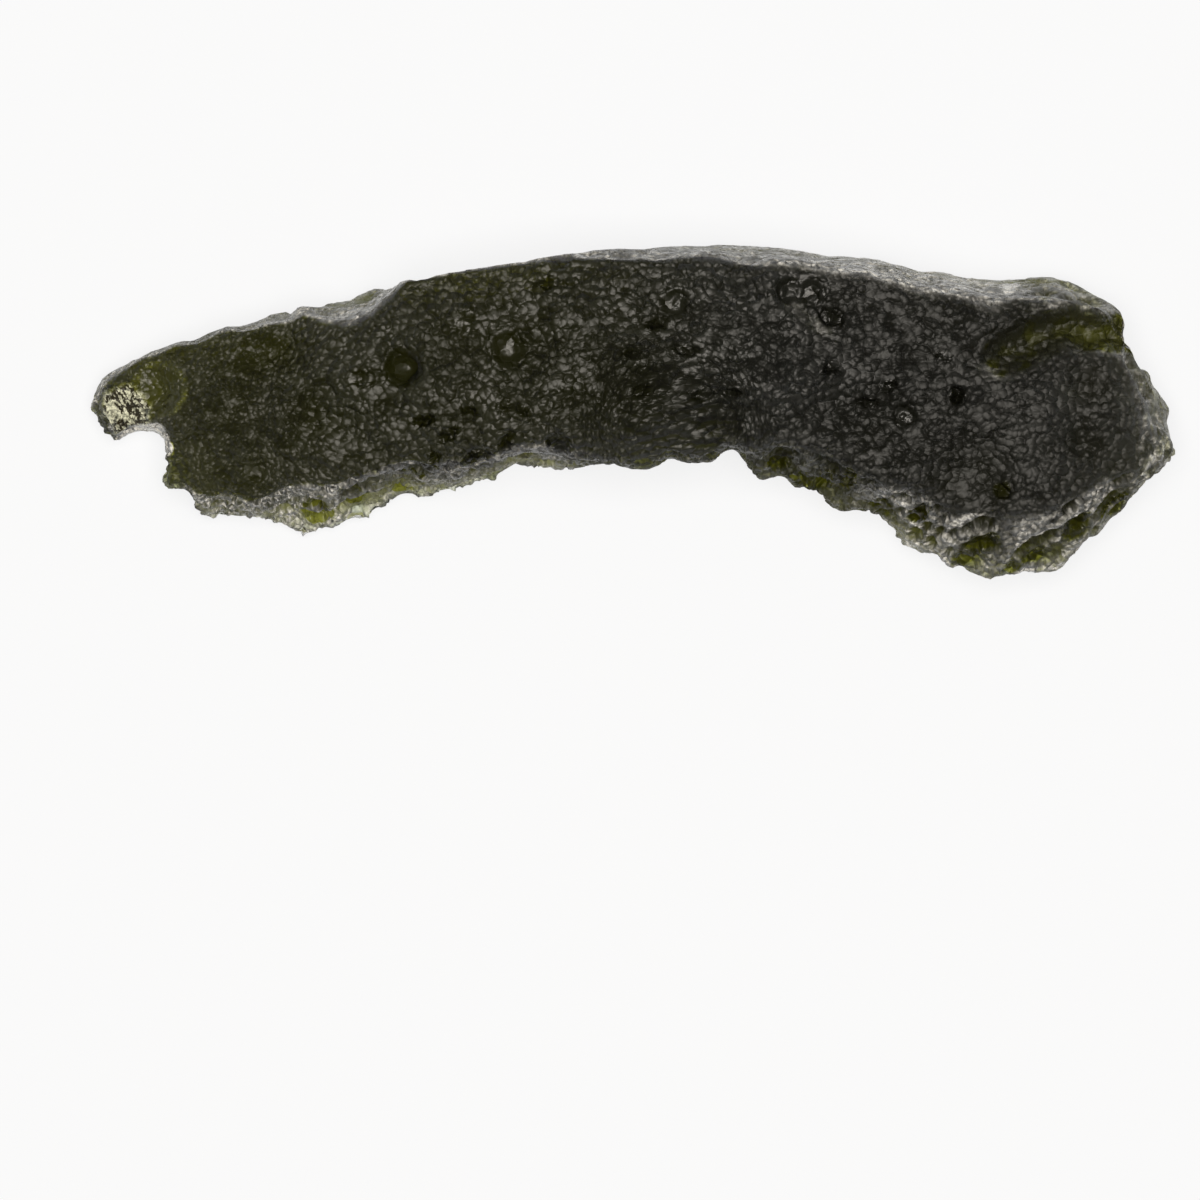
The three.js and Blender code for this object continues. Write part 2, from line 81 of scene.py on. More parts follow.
# ---------------------------------------------------------------- places on the stone (mm)
# Single pits seen from above: x, y, half width, depth, height of the knob left standing in the
# middle, length as a multiple of the width, and how far the long way is turned from the x axis.
PITS = [
    (-16.95, 0.9, 0.95, 0.14, 0.0, 1.0, 0),
    (-8.15, 1.65, 0.8, 0.34, -0.2, 1.0, 0),
    (-9.85, 1.3, 0.38, 0.16, 0.14, 1.0, 0),
    (-4.45, 2.3, 0.68, 0.24, 0.12, 1.0, 0),
    (-6.0, 3.3, 0.42, 0.12, 0.1, 1.0, 0),
    (-2.6, 5.5, 0.28, 0.22, 0.0, 1.6, 15),
    (-2.9, 4.65, 0.16, 0.14, 0.0, 4.0, 3),
    (1.45, 3.95, 0.55, 0.22, 0.2, 1.0, 0),
    (0.85, 3.15, 0.2, 0.16, 0.0, 2.2, 15),
    (1.8, 2.3, 0.2, 0.22, 0.0, 2.6, -5),
    (-0.1, 2.2, 0.16, 0.14, 0.0, 2.2, 10),
    (5.5, 4.4, 0.5, 0.28, 0.14, 1.0, 0),
    (6.45, 4.4, 0.5, 0.28, 0.14, 1.0, 0),
    (7.15, 3.45, 0.32, 0.26, 0.0, 1.5, -20),
    (7.1, 1.65, 0.2, 0.12, 0.0, 1.8, -20),
    (8.3, 0.4, 0.16, 0.18, 0.0, 2.8, 4),
    (9.1, 1.0, 0.22, 0.14, 0.0, 1.4, 0),
    (9.75, -0.05, 0.52, 0.18, 0.16, 1.0, 0),
    (11.1, 2.05, 0.2, 0.14, 0.0, 1.7, 5),
    (11.65, 0.6, 0.3, 0.26, 0.0, 1.2, 0),
    (13.2, -2.7, 0.26, 0.18, 0.0, 1.3, 20),
    (-7.5, -0.25, 0.2, 0.2, 0.0, 2.2, 10),
    (-6.5, -0.7, 0.3, 0.26, 0.0, 1.3, 30),
    (-5.8, 0.12, 0.14, 0.14, 0.0, 2.5, 5),
    (-4.6, 0.25, 0.2, 0.14, 0.0, 1.4, 20),
    (-3.9, 0.1, 0.2, 0.14, 0.0, 1.3, -20),
    (0.3, 0.9, 0.22, 0.14, 0.0, 1.6, 0),
    (2.5, 0.7, 0.26, 0.16, 0.0, 1.7, 0),
    (3.6, 0.8, 0.13, 0.12, 0.0, 3.0, 0),
    (-11.25, -3.42, 0.5, 0.42, 0.0, 1.1, 0),
    (-10.1, -2.85, 0.28, 0.2, 0.0, 1.4, 0),
    (-8.2, -2.3, 0.36, 0.3, 0.0, 2.0, 5),
    (-7.1, -1.6, 0.26, 0.3, 0.0, 1.3, 80),
    (-5.5, -1.5, 0.3, 0.24, 0.0, 2.2, 22),
    (-4.5, -1.0, 0.26, 0.3, 0.0, 1.6, 50),
    (-2.6, -1.1, 0.4, 0.34, 0.1, 1.5, -25),
    (5.3, -1.7, 0.28, 0.3, 0.0, 1.6, 20),
    (6.0, -2.4, 0.3, 0.24, 0.0, 1.3, 0),
    (6.9, -2.3, 0.2, 0.26, 0.0, 1.6, 60),
    (7.75, -2.3, 0.24, 0.26, 0.0, 1.4, 80),
    (8.9, -3.3, 0.36, 0.3, 0.0, 1.2, -40),
    (10.2, -3.5, 0.3, 0.26, 0.0, 1.4, 20),
    (12.4, -4.65, 0.3, 0.34, 0.0, 2.8, 22),
    (11.8, -5.2, 0.22, 0.24, 0.0, 1.8, 10),
    (15.9, -4.0, 0.32, 0.36, 0.0, 2.2, 45),
    (17.25, -3.2, 0.24, 0.3, 0.0, 3.0, 40),
    (14.3, -5.05, 0.16, 0.2, 0.0, 2.6, 30),
    (13.5, -5.55, 0.2, 0.2, 0.0, 2.0, 35),
]
# Corners of the crazed break in the tongue, clockwise.
BREAK = [(-18.95, 0.8), (-18.0, 1.15), (-17.3, 0.35), (-17.3, -0.3), (-18.4, -0.95), (-19.1, -0.1)]
# The hole is not sunk into the mesh: its darkness is painted shade.
PAINTED_HOLE_SHADE = (-18.35, -0.3)  # middle of a dark hole in it
PAINTED_HOLE_SHADE_RADIUS = 0.13
SCAR = (-16.95, 0.9)  # middle of the round scar beside it
SCAR_RADIUS = 0.9
PIT_VALUES = ("width", "depth", "knob", "stretch", "turn")
GROOVE = [(18.6, 2.85), (15.4, 3.1), (13.2, 2.1)]  # line of the groove at the blunt end
GROOVE_HALF = 0.62
GROOVE_FALL = -0.6  # how much deeper than the solid's it is cut
THIN_END = (-11.5, 0.0, 2.5)  # where the knobs turn finer towards the thin end
# Stretch where the knobs are drawn out: middle, radius, degrees from the x axis, and how much.
FLOW = ((1.6, -0.5, 5.0), 2.4, 13, 0.6)
BITE = (-17.55, -1.4)  # middle of the half-round bite, whose edge is smooth
BITE_BEVEL = 1.09  # outer radius of the pale bevel round it
BITE_SMOOTH = 1.15  # no teeth grow nearer to its middle than this
# White frosted chips, and one painted glint beside the break's hole: x, y, radius, how thick the frost is,
# and the height that they start at.
CHIPS_AND_GLINT = [
    (13.5, 4.8, 0.38, 40.0, 1.9),
    (9.7, -4.85, 0.25, 30.0, 0.0),
    (10.6, -5.3, 0.25, 30.0, 0.0),
    (14.1, -5.75, 0.3, 30.0, 0.0),
    (-17.6, 0.9, 0.4, 4.0, 0.6),
    # A painted glint beside the break's hole.
    (-18.72, -0.42, 0.14, 40.0, 0.0),
]
BLUNT_MIDDLE = (13.5, -0.6)  # middle of the curve that the blunt end's rim follows
BLUNT_RIM = (4.5, 5.1)  # how far from that middle the rim starts, and is whole
FRONT_STREAKS = 38  # how far the ribs of the blunt end's bevel are turned from the x axis

# ---------------------------------------------------------------- patterns of the glass's skin
# Scales count to one knob's spacing of 0.27 mm: specks are 0.14 mm apart and grit 0.45 mm, which is
# coarser than the real grit, so that it shows.
SPECK_SCALE = 1.9
GRIT_SCALE = 0.6
BLOTCH_SCALE = 0.85
BLOTCH_STRETCH = (0.4, 1.0, 0.8)
BLOTCH_EDGE = (0.36, 0.62)
SHARD_TURN = 38  # how far the shards of the crazed break are turned from the x axis
SHARD_LENGTHS = (1.1, 2.6, 2.0)
GLASS_IOR = 1.49

# ---------------------------------------------------------------- the stage, in metres
WARM_WHITE = (1.0, 0.945, 0.86)
SENSOR_WIDTH = 36.0  # of the camera, in millimetres
FLOOR_REACH = 1.5  # from the middle of the floor to its sides
FLOOR_DROP = 0.00005  # keeps the floor clear of the face that the stone rests on

# ---------------------------------------------------------------- the skin's masks and nodes
X, Y, Z = 0, 1, 2
# Stretches over which one look of the skin gives way to the next: an axis, its start and its end.
# The front edge is a thin fringe on the left, a hollow arch in the middle and a bevel on the right.
# The back edge is a narrow ledge on the left, then a strip, and a lobe over the groove.
STRETCHES = {
    "foot": (Z, 1.0, 1.6),  # the thin rims are below it
    "low wall": (Z, 1.2, 2.0),
    "ledge height": (Z, 1.9, 2.5),
    "front": (Y, -1.5, -1.0),
    "front slope": (Y, -1.0, 0.0),
    "fringe side": (Y, -1.2, -0.6),
    "bevel side": (Y, -2.4, -1.6),
    "green side": (Y, -2.2, -1.4),
    "bite side": (Y, -1.5, -1.1),
    "lobe side": (Y, 3.5, 4.1),
    "ledge start": (X, -16.5, -15.5),
    "tongue": (X, -16.3, -15.5),
    "thin end": (X, -13.5, -10.0),
    "left ribs": (X, -10.8, -9.8),
    "narrow ribs": (X, -10.8, -9.0),
    "ledge end": (X, -9.5, -8.5),
    "clear body": (X, -6.0, 10.0),
    "fringe": (X, -3.0, -2.0),
    "fringe frost": (X, -3.0, -1.5),
    "arch start": (X, -3.0, -1.0),
    "gentle back": (X, 3.0, 6.0),
    "worn end": (X, 4.0, 11.0),
    "strip gain": (X, 6.0, 10.0),
    "arch end": (X, 7.0, 9.0),
    "bevel frost": (X, 7.5, 9.5),
    "bevel": (X, 8.5, 10.5),
    "strip end": (X, 12.0, 14.0),
    "smooth back": (X, 13.0, 16.0),
    "lobe": (X, 14.0, 15.0),
    "notched rim": (X, 15.5, 17.0),
    "blunt end": (X, 16.5, 18.0),
    "blunt rim": (X, 16.6, 17.6),
}
# How far the skin's normal points up, or back, where a mask starts to change and where it is done.
SLOPES = {
    "upward": (-0.1, 0.2),
    "open to the sky": (0.1, 0.4),
    "seen from above": (0.25, 0.5),
    "top": (0.55, 0.85),
    "off the wall": (0.62, 0.84),
    "lit undercut": (-0.75, -0.3),
    "off the rim": (0.3, 0.75),
    "back": (0.0, 0.35),
}
# Sizes of the grains of uneven patches, in millimetres.
SIZES = {
    "swell": 2.4,
    "mottle": 1.4,
    "groove green": 0.8,
    "rim green": 0.6,
    "creases": 0.55,
    "thin end's mottle": 0.5,
    "rim spots": 0.38,
    "teeth": 0.34,
    "grain": 0.32,
}
# How edges are made to wander: the size of the waves and how far they reach, in millimetres.
WANDER = {
    "cups": (1.8, 1.0),
    "knobs": (0.9, 0.15),
    "pits": (0.6, 0.45),
    "groove": (0.5, 0.2),
    "chips": (0.4, 0.4),
    "break": (0.35, 0.3),
}
# How thick the frost is: 1 hides the glass lightly, 40 turns it white.
FROST = {"left ribs": 1.9, "bevel ribs": 3.2, "bite": 40.0, "rim spots": 6.0, "scar": 2.2}

# Named inputs of the skin's node tree, by the kind of socket.
SKIN_INPUTS = {
    "Geometry": ("Geometry",),
    "Object": ("Pits",),
    "Float": ("Knob Size", "Cup Size", "Cup Depth", "Swell", "Grain", "Creases", "Teeth", "Rim Gain"),
    "Vector": ("Box Low", "Box High"),
    "Material": ("Glass",),
}
# Plain words for the nodes in use: each one's type, the inputs that its values fill in order, the
# output that is used (None for all of them), and its settings.
NODES = {
    "ramp": ("ShaderNodeMapRange", range(5), 0, {"interpolation_type": "SMOOTHSTEP"}),
    "blend": ("ShaderNodeMix", (0, 2, 3), 0, {}),
    "tint": ("ShaderNodeMix", (0, 6, 7), 2, {"data_type": "RGBA"}),
    "apart": ("ShaderNodeSeparateXYZ", (0,), None, {}),
    "joined": ("ShaderNodeCombineXYZ", (0, 1, 2), 0, {}),
    "turn": ("ShaderNodeVectorRotate", ("Vector", "Angle"), 0, {"rotation_type": "Z_AXIS"}),
    "scaled": ("ShaderNodeVectorMath", (0, "Scale"), 0, {"operation": "SCALE"}),
    "noise": ("ShaderNodeTexNoise", ("Vector", "Scale", "Detail", "Roughness"), 0, {}),
    "cells": ("ShaderNodeTexVoronoi", ("Vector", "Scale"), "Distance", {"feature": "F1"}),
    "inputs": ("NodeGroupInput", (), None, {}),
    "result": ("NodeGroupOutput", ("Geometry",), None, {}),
    "place": ("GeometryNodeInputPosition", (), 0, {}),
    "normal": ("GeometryNodeInputNormal", (), 0, {}),
    "move by": ("GeometryNodeSetPosition", ("Geometry", "Offset"), 0, {}),
    "move to": ("GeometryNodeSetPosition", ("Geometry", "Position"), 0, {}),
    "store": ("GeometryNodeStoreNamedAttribute", ("Geometry", "Name", "Value"), 0, {"domain": "POINT"}),
    "stored": ("GeometryNodeInputNamedAttribute", ("Name",), 0, {"data_type": "FLOAT"}),
    "object": ("GeometryNodeObjectInfo", ("Object",), "Geometry", {}),
    "nearest": ("GeometryNodeSampleNearest", ("Geometry", "Sample Position"), 0, {"domain": "POINT"}),
    "sample": ("GeometryNodeSampleIndex", ("Geometry", "Value", "Index"), 0, {"domain": "POINT"}),
    "smooth": ("GeometryNodeSetShadeSmooth", ("Geometry",), 0, {}),
    "realize": ("GeometryNodeRealizeInstances", ("Geometry",), 0, {}),
    "material": ("GeometryNodeSetMaterial", ("Geometry", "Material"), 0, {}),
    "attribute": ("ShaderNodeAttribute", (), "Fac", {}),
    "bump": ("ShaderNodeBump", ("Height", "Distance", "Filter Width"), 0, {}),
    "glass": (
        "ShaderNodeBsdfPrincipled",
        ("Base Color", "Roughness", "IOR", "Transmission Weight", "Normal"),
        0,
        {},
    ),
    "absorption": ("ShaderNodeVolumeAbsorption", ("Color", "Density"), 0, {}),
    "finish": ("ShaderNodeOutputMaterial", ("Surface", "Volume"), None, {}),
    "direction": ("ShaderNodeTexCoord", (), "Generated", {}),
    "background": ("ShaderNodeBackground", ("Color", "Strength"), 0, {}),
    "sky": ("ShaderNodeOutputWorld", ("Surface",), None, {}),
}
NODES |= {
    "VECTOR_" + name: ("ShaderNodeVectorMath", (0, 1), "Vector", {"operation": name})
    for name in ("ADD", "SUBTRACT", "MULTIPLY", "DIVIDE", "MINIMUM", "MAXIMUM")
}
NODES |= {
    name: ("ShaderNodeVectorMath", (0, 1), "Value", {"operation": name})
    for name in ("DISTANCE", "DOT_PRODUCT", "LENGTH")
}


# ---------------------------------------------------------------- helpers
def linear(hex_colour):
    """Turn an sRGB hex colour into the linear RGBA that Blender works in."""
    channels = [int(hex_colour[i : i + 2], 16) / 255 for i in (1, 3, 5)]
    bright = [((c + 0.055) / 1.055) ** 2.4 if c > 0.04045 else c / 12.92 for c in channels]
    return (*bright, 1.0)


def add(tree, kind, *values, out=None, **settings):
    """Add one node with its links and settings, and return what is used of it.

    kind is a word of NODES, or else an operation of the Math node. Each value fills one input.
    """
    maths = ("ShaderNodeMath", (0, 1, 2), 0, {"operation": kind})
    node_type, inputs, used, usual = NODES.get(kind, maths)
    node = tree.nodes.new(node_type)
    for name, value in {**usual, **settings}.items():
        setattr(node, name, value)
    for key, value in zip(inputs, values):
        if isinstance(value, bpy.types.NodeSocket):
            tree.links.new(value, node.inputs[key])
        else:
            node.inputs[key].default_value = value
    used = used if out is None else out
    return node.outputs if used is None else node.outputs[used]


def chain(tree, operation, first, *others):
    """Join any number of values, two at a time, by one Math operation."""
    for value in others:
        first = add(tree, operation, first, value)
    return first


def turned(tree, place, degrees, lengths):
    """Place measured along axes turned about z, each divided by its length."""
    return add(tree, "VECTOR_DIVIDE", add(tree, "turn", place, -math.radians(degrees)), lengths)


def flat_place(tree, place):
    """Place as seen from above."""
    return add(tree, "VECTOR_MULTIPLY", place, (1, 1, 0))


def past(tree, stretch, before=0.0, after=1.0, place=None):
    """One value before a stretch of the stone and another after it, changing softly between them."""
    axis, start, end = STRETCHES[stretch]
    parts = add(tree, "apart", add(tree, "place") if place is None else place)
    return add(tree, "ramp", parts[axis], start, end, before, after)


def nearness(tree, place, centre, radius, edge=0.3):
    """1 within a disc seen from above, fading to 0 round its rim."""
    distance = add(tree, "DISTANCE", flat_place(tree, place), (*centre[:2], 0))
    return add(tree, "ramp", distance, radius * (1 - edge), radius * (1 + edge), 1.0, 0.0)


def inside_of(tree, place, corners, edge):
    """1 inside a convex patch given by its corners, clockwise, fading to 0 over its edge."""
    margins = []
    for (x, y), (next_x, next_y) in zip(corners, corners[1:] + corners[:1]):
        length = math.hypot(next_x - x, next_y - y)
        inward = ((next_y - y) / length, -(next_x - x) / length, 0)
        away = add(tree, "VECTOR_SUBTRACT", place, (x, y, 0))
        margins.append(add(tree, "DOT_PRODUCT", away, inward))
    return add(tree, "ramp", chain(tree, "MINIMUM", *margins), -edge, edge)


# ---------------------------------------------------------------- the skin's node tree
def skin_inputs(tree):
    """Give the skin's tree its named inputs, and return them."""
    for kind, names in SKIN_INPUTS.items():
        for name in names:
            tree.interface.new_socket(name, in_out="INPUT", socket_type="NodeSocket" + kind)
    tree.interface.new_socket("Geometry", in_out="OUTPUT", socket_type="NodeSocketGeometry")
    return add(tree, "inputs")


def facing(tree):
    """Each point's normal, as its three parts."""
    return add(tree, "apart", add(tree, "normal"))


def push(tree, geometry, amount):
    """Move every point along its normal by an amount, and return the geometry."""
    return add(tree, "move by", geometry, add(tree, "scaled", add(tree, "normal"), amount))


def keep(tree, geometry, **values):
    """Keep values on every point under their names, and return the geometry."""
    for name, value in values.items():
        geometry = add(tree, "store", geometry, name, value)
    return geometry


def grain(tree, place, size, detail=2.0):
    """Noise centred on zero, from about -0.5 to 0.5, of a size in millimetres."""
    return add(tree, "SUBTRACT", add(tree, "noise", place, 1 / size, detail), 0.5)


def wander(tree, place, size, reach):
    """Shift a place by noise of a size, by up to about half the reach each way."""
    noise = add(tree, "noise", place, 1 / size, 1.0, out="Color")
    shift = add(tree, "VECTOR_SUBTRACT", noise, (0.5, 0.5, 0.5))
    return add(tree, "VECTOR_ADD", place, add(tree, "VECTOR_MULTIPLY", shift, (reach,) * 3))


def side_masks(tree, geometry):
    """Keep on each point how much it is top, side wall and thin rim, before the skin is worked."""
    normal = facing(tree)
    upward = add(tree, "ramp", normal[Z], *SLOPES["upward"])
    wall = add(tree, "MULTIPLY", upward, add(tree, "ramp", normal[Z], *SLOPES["off the wall"], 1.0, 0.0))
    low = chain(tree, "MULTIPLY", upward, past(tree, "low wall", 1.0, 0.0), past(tree, "front", 1.0, 0.0))
    # Where the back wall faces the bright surroundings, so that the back strip's painted reflection follows
    # it.
    starts = add(tree, "ADD", past(tree, "gentle back", 0.0, 0.25), 0.45)
    sheer = add(tree, "ramp", normal[Z], starts, add(tree, "ADD", starts, 0.25), 1.0, 0.0)
    upright = add(tree, "ramp", add(tree, "ABSOLUTE", normal[Z]), *SLOPES["off the rim"], 1.0, 0.0)
    return keep(
        tree,
        geometry,
        top=add(tree, "ramp", normal[Z], *SLOPES["top"]),
        sheer=add(tree, "MULTIPLY", add(tree, "ramp", normal[Z], *SLOPES["lit undercut"]), sheer),
        wall=add(tree, "MAXIMUM", wall, low),
        rim=add(tree, "MULTIPLY", upright, past(tree, "foot", 1.0, 0.0)),
        back=add(tree, "ramp", normal[Y], *SLOPES["back"]),
    )


def knob_places(tree, place, thin, knob_size):
    """Turn a place into one counted in knobs: finer at the thin end, and drawn out along the flow."""
    away = add(tree, "VECTOR_SUBTRACT", place, THIN_END)
    finer = add(tree, "scaled", away, add(tree, "blend", thin, 1.0, 1.45))
    place = add(tree, "VECTOR_ADD", finer, THIN_END)
    centre, radius, degrees, squeeze = FLOW
    near = nearness(tree, add(tree, "place"), centre, radius, 0.5)
    drawn = turned(tree, add(tree, "VECTOR_SUBTRACT", place, centre), degrees, (1, 1, 1))
    drawn = add(tree, "apart", drawn)
    along = add(tree, "MULTIPLY", drawn[X], add(tree, "blend", near, 1.0, squeeze))
    drawn = turned(tree, add(tree, "joined", along, drawn[Y], drawn[Z]), -degrees, (1, 1, 1))
    place = add(tree, "VECTOR_MULTIPLY", add(tree, "VECTOR_ADD", drawn, centre), (1, 1, 0.8))
    return add(tree, "scaled", place, add(tree, "DIVIDE", 1.0, knob_size))


def skin_map(tree, geometry, given):
    """Keep on each point its place in the pattern of knobs, and that pattern's masks."""
    loose = wander(tree, add(tree, "place"), *WANDER["knobs"])
    thin = past(tree, "thin end", 1.0, 0.0, place=loose)
    knobs = knob_places(tree, loose, thin, given["Knob Size"])
    geometry = add(tree, "store", geometry, "knobs", knobs, data_type="FLOAT_VECTOR")

    # The crazed break: 1 on its plates, up to 2 in its hole, and 0 on the bevel round the bite. The hole is
    # not sunk: its darkness is painted shade.
    ragged = wander(tree, add(tree, "place"), *WANDER["break"])
    hole = nearness(tree, ragged, PAINTED_HOLE_SHADE, PAINTED_HOLE_SHADE_RADIUS, 0.4)
    bevel = nearness(tree, add(tree, "place"), BITE, BITE_BEVEL, 0.04)
    broken = add(tree, "MULTIPLY", inside_of(tree, ragged, BREAK, 0.07), add(tree, "SUBTRACT", 1.0, bevel))

    # How steep the knobs are: uneven in patches, steeper on the walls, and steepest in the flow.
    mottle = add(tree, "ramp", grain(tree, add(tree, "place"), SIZES["mottle"]), -0.18, 0.18)
    patchy = grain(tree, add(tree, "place"), SIZES["thin end's mottle"])
    patchy = add(tree, "ramp", patchy, -0.15, 0.15, 1.9, 0.5)
    wall = add(tree, "blend", add(tree, "stored", "wall"), 1.05, past(tree, "front slope", 3.6, 2.2))
    centre, radius = FLOW[:2]
    flow = nearness(tree, add(tree, "place"), centre, radius, 0.8)
    steep = chain(
        tree,
        "MULTIPLY",
        add(tree, "blend", mottle, 0.6, 1.4),
        add(tree, "blend", thin, 1.0, patchy),
        wall,
        add(tree, "blend", flow, 1.0, 2.2),
    )

    # Painted green glow, standing in for light that comes back out of the glass: on the clear half of the
    # top, and low on the arch's walls.
    body = past(tree, "clear body", 0.17, 0.0)
    not_wall = add(tree, "SUBTRACT", 1.0, add(tree, "stored", "wall"))
    body = chain(tree, "MULTIPLY", body, not_wall, add(tree, "stored", "top"))
    low_front = chain(
        tree,
        "MULTIPLY",
        past(tree, "front slope", 0.06, 0.0),
        add(tree, "stored", "wall"),
        past(tree, "arch start"),
        past(tree, "arch end", 1.0, 0.0),
    )
    return keep(
        tree,
        geometry,
        broken=add(tree, "ADD", broken, hole),
        steep=steep,
        green=add(tree, "MAXIMUM", body, low_front),
        etching=add(tree, "blend", thin, add(tree, "ADD", mottle, past(tree, "worn end", 0.0, 1.1)), 0.6),
    )


def frost_map(tree, geometry, reach):
    """Keep on each point its frost and painted light: frost on the ribs between the cups, the bite and chips,
    a painted reflection on the back strip, and one painted glint.
    """
    place = add(tree, "place")

    # Ribs of the walls, which stand between the cups.
    level = past(tree, "fringe frost", 2.0, 0.5)
    level = add(tree, "MULTIPLY_ADD", past(tree, "left ribs", 1.0, 0.0), FROST["left ribs"], level)
    level = add(tree, "MULTIPLY_ADD", past(tree, "bevel frost"), FROST["bevel ribs"], level)
    level = chain(tree, "MULTIPLY", level, past(tree, "tongue"), past(tree, "blunt end", 1.0, 0.3))
    starts = past(tree, "narrow ribs", 0.05, 0.3)
    ribs = add(tree, "ramp", reach, starts, add(tree, "ADD", starts, 0.3))
    ribs = chain(tree, "MULTIPLY", ribs, add(tree, "stored", "wall"), level)

    # The strip along the back, which keeps to its upper edge beside the thin end: a painted reflection of the
    # bright surroundings on the wall that faces them.
    strip = chain(
        tree,
        "MULTIPLY",
        add(tree, "stored", "back"),
        add(tree, "stored", "sheer"),
        past(tree, "strip end", 5.6, 0.6),
        past(tree, "strip gain", 1.0, 1.5),
    )
    ledge = add(tree, "MULTIPLY", past(tree, "ledge start"), past(tree, "ledge end", 1.0, 0.0))
    strip = add(tree, "MULTIPLY", strip, add(tree, "blend", ledge, 1.0, past(tree, "ledge height")))

    # The bite's bevel, the blunt end's mottled rim, the scar's ring, and the chips with the painted glint.
    bite = chain(tree, "MULTIPLY", nearness(tree, place, BITE, BITE_BEVEL, 0.04), past(tree, "bite side"))
    from_middle = add(tree, "DISTANCE", flat_place(tree, place), (*BLUNT_MIDDLE, 0))
    blunt_rim = add(tree, "MULTIPLY", add(tree, "ramp", from_middle, *BLUNT_RIM), past(tree, "blunt rim"))
    lobe = add(tree, "MULTIPLY", past(tree, "lobe"), past(tree, "lobe side"))
    blunt_rim = add(tree, "MAXIMUM", blunt_rim, lobe)
    spots = add(tree, "ramp", grain(tree, place, SIZES["rim spots"]), -0.02, 0.1)
    spots = add(tree, "MULTIPLY", spots, blunt_rim)
    scar = nearness(tree, place, SCAR, SCAR_RADIUS * 1.12, 0.08)
    scar = add(tree, "SUBTRACT", scar, nearness(tree, place, SCAR, SCAR_RADIUS * 0.9, 0.15))
    frost = chain(
        tree,
        "MAXIMUM",
        ribs,
        strip,
        add(tree, "MULTIPLY", bite, FROST["bite"]),
        add(tree, "MULTIPLY", spots, FROST["rim spots"]),
        add(tree, "MULTIPLY", scar, FROST["scar"]),
    )
    height = add(tree, "apart", place)[Z]
    for x, y, radius, thick, lowest in CHIPS_AND_GLINT:
        chip = nearness(tree, wander(tree, place, *WANDER["chips"]), (x, y), radius, 0.3)
        above = add(tree, "ramp", height, lowest - 0.3, lowest + 0.1)
        frost = add(tree, "MAXIMUM", frost, chain(tree, "MULTIPLY", chip, above, thick))
    # A mottled painted green glow on the blunt end's rim.
    mottled = add(tree, "ramp", grain(tree, place, SIZES["rim green"]), -0.08, 0.1, 0.0, 0.07)
    green = add(tree, "MAXIMUM", add(tree, "stored", "green"), add(tree, "MULTIPLY", blunt_rim, mottled))
    return keep(tree, geometry, green=green, frost=frost)


def broad_relief(tree, geometry, given):
    """Broad swellings, and cups eaten into the sides and underside with ribs left between them."""
    place = add(tree, "place")
    swell = add(tree, "MULTIPLY", grain(tree, place, SIZES["swell"]), given["Swell"])
    loose = wander(tree, place, *WANDER["cups"])
    cup_scale = add(tree, "DIVIDE", 1.0, given["Cup Size"])
    round_cups = add(tree, "cells", loose, cup_scale)
    long_cups = add(tree, "cells", turned(tree, loose, FRONT_STREAKS, (1.7, 0.45, 0.8)), cup_scale)
    bevel = add(tree, "MULTIPLY", past(tree, "bevel"), past(tree, "bevel side", 1.0, 0.0))
    reach = add(tree, "blend", bevel, round_cups, long_cups)
    strip = add(tree, "MULTIPLY", add(tree, "stored", "back"), past(tree, "smooth back", 1.0, 0.0))
    fringe = add(tree, "MULTIPLY", past(tree, "fringe", 1.0, 0.0), past(tree, "fringe side", 1.0, 0.0))
    depth = chain(
        tree,
        "MULTIPLY",
        add(tree, "blend", add(tree, "stored", "top"), 1.0, 0.2),
        add(tree, "blend", strip, 1.0, 0.45),
        add(tree, "blend", add(tree, "stored", "rim"), 1.0, past(tree, "notched rim", 0.15, 0.8)),
        add(tree, "blend", bevel, 1.0, 1.5),
        add(tree, "blend", fringe, 1.0, 1.4),
        given["Cup Depth"],
    )
    cups = add(tree, "MULTIPLY", add(tree, "ramp", reach, 0.0, 0.62, -1.0, 0.1), depth)
    geometry = frost_map(tree, geometry, reach)
    return push(tree, geometry, add(tree, "ADD", swell, cups))


def from_line(tree, place, start, end):
    """Distance, seen from above, from a straight line between two places."""
    away = add(tree, "VECTOR_SUBTRACT", flat_place(tree, place), (*start, 0))
    run = (end[0] - start[0], end[1] - start[1], 0)
    ahead = add(tree, "DOT_PRODUCT", away, run)
    along = add(tree, "DIVIDE", ahead, run[0] ** 2 + run[1] ** 2, use_clamp=True)
    return add(tree, "DISTANCE", away, add(tree, "scaled", run, along))


def groove_relief(tree, geometry):
    """Cut the groove at the blunt end deeper, with steep sides, and keep its painted green glow and lack of
    frost.
    """
    place = wander(tree, add(tree, "place"), *WANDER["groove"])
    distances = [from_line(tree, place, *ends) for ends in zip(GROOVE, GROOVE[1:])]
    nearest = chain(tree, "MINIMUM", *distances)
    inside = add(tree, "ramp", nearest, GROOVE_HALF * 0.4, GROOVE_HALF * 1.4, 1.0, 0.0)
    inside = add(tree, "MULTIPLY", inside, add(tree, "ramp", facing(tree)[Z], *SLOPES["open to the sky"]))
    # Patches of painted green glow inside the groove.
    patches = add(tree, "ramp", grain(tree, place, SIZES["groove green"]), -0.05, 0.15, 0.05, 0.8)
    green = add(tree, "MAXIMUM", add(tree, "stored", "green"), add(tree, "MULTIPLY", inside, patches))
    frost = add(tree, "blend", inside, add(tree, "stored", "frost"), 0.0)
    geometry = keep(tree, geometry, green=green, frost=frost)
    fall = add(tree, "MULTIPLY", inside, GROOVE_FALL)
    return add(tree, "move by", geometry, add(tree, "joined", 0.0, 0.0, fall))


